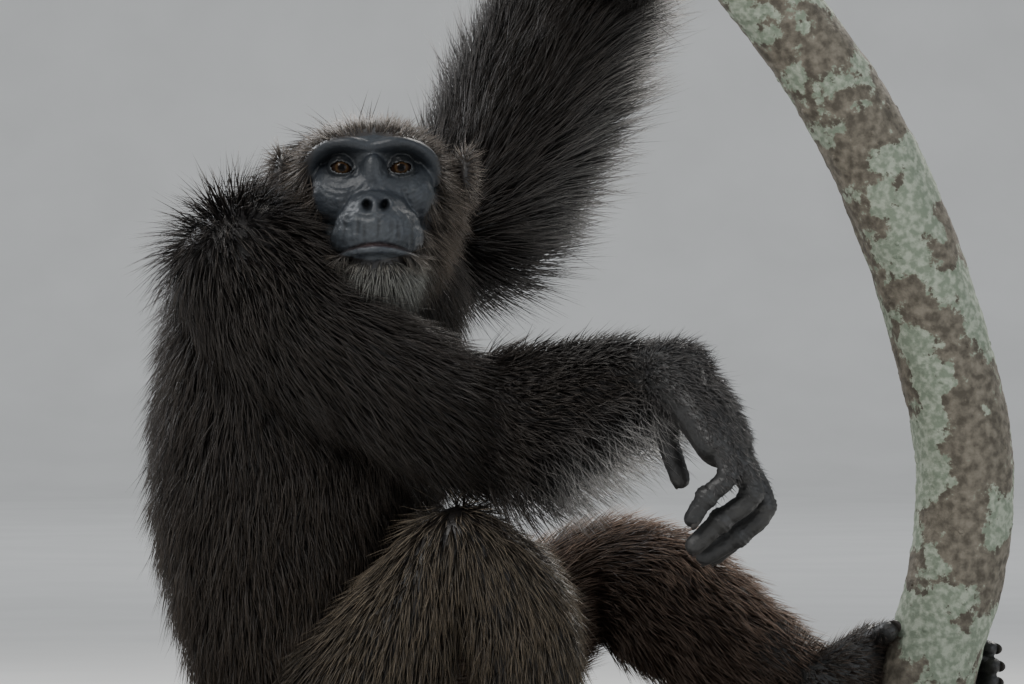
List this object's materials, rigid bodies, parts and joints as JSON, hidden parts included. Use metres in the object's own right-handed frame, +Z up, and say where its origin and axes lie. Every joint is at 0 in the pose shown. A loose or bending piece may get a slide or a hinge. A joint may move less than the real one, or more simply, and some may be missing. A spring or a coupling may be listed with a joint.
{
  "type": "chimpanzee",
  "caption": "Life-size still model of a seated adult chimpanzee, one arm on its raised knee, the other hand and a foot holding a curved stem, on a flat base.",
  "frame": {"origin": "middle of the underside of the flat base", "axes": "+Z up, +X from the animal's back towards the stem it holds, +Y away from the side seen in the reference view"},
  "size_m": [1, 0.78, 0.971],
  "materials": {
    "coat": "long coarse black-brown hair with paler tips",
    "brown_coat": "coarse brown hair with warm tips",
    "face_skin": "dark blue-grey wrinkled skin",
    "hand_skin": "dark creased skin",
    "eye": "wet amber-brown eye",
    "bark": "grey-brown bark with pale lichen",
    "base": "dark satin plate",
    "rod": "brushed"
  },
  "bodies": {
    "root": {"stand_base": "base", "stand_rod": "rod", "perch_lower": "bark", "perch_middle": "bark", "perch_upper": "bark", "torso": "coat", "neck": "coat", "eye_right": "eye", "eye_left": "eye", "head": "face_skin", "ear_right": "face_skin", "ear_left": "face_skin", "upper_arm_right": "coat", "thigh_right": "coat", "forearm_right": "coat", "hand_right": "hand_skin", "shin_right": "coat", "foot_right": "hand_skin", "upper_arm_left": "coat", "forearm_left": "coat", "hand_left": "hand_skin", "thigh_left": "brown_coat", "shin_left": "brown_coat", "foot_left": "hand_skin"}
  },
  "joints": []
}
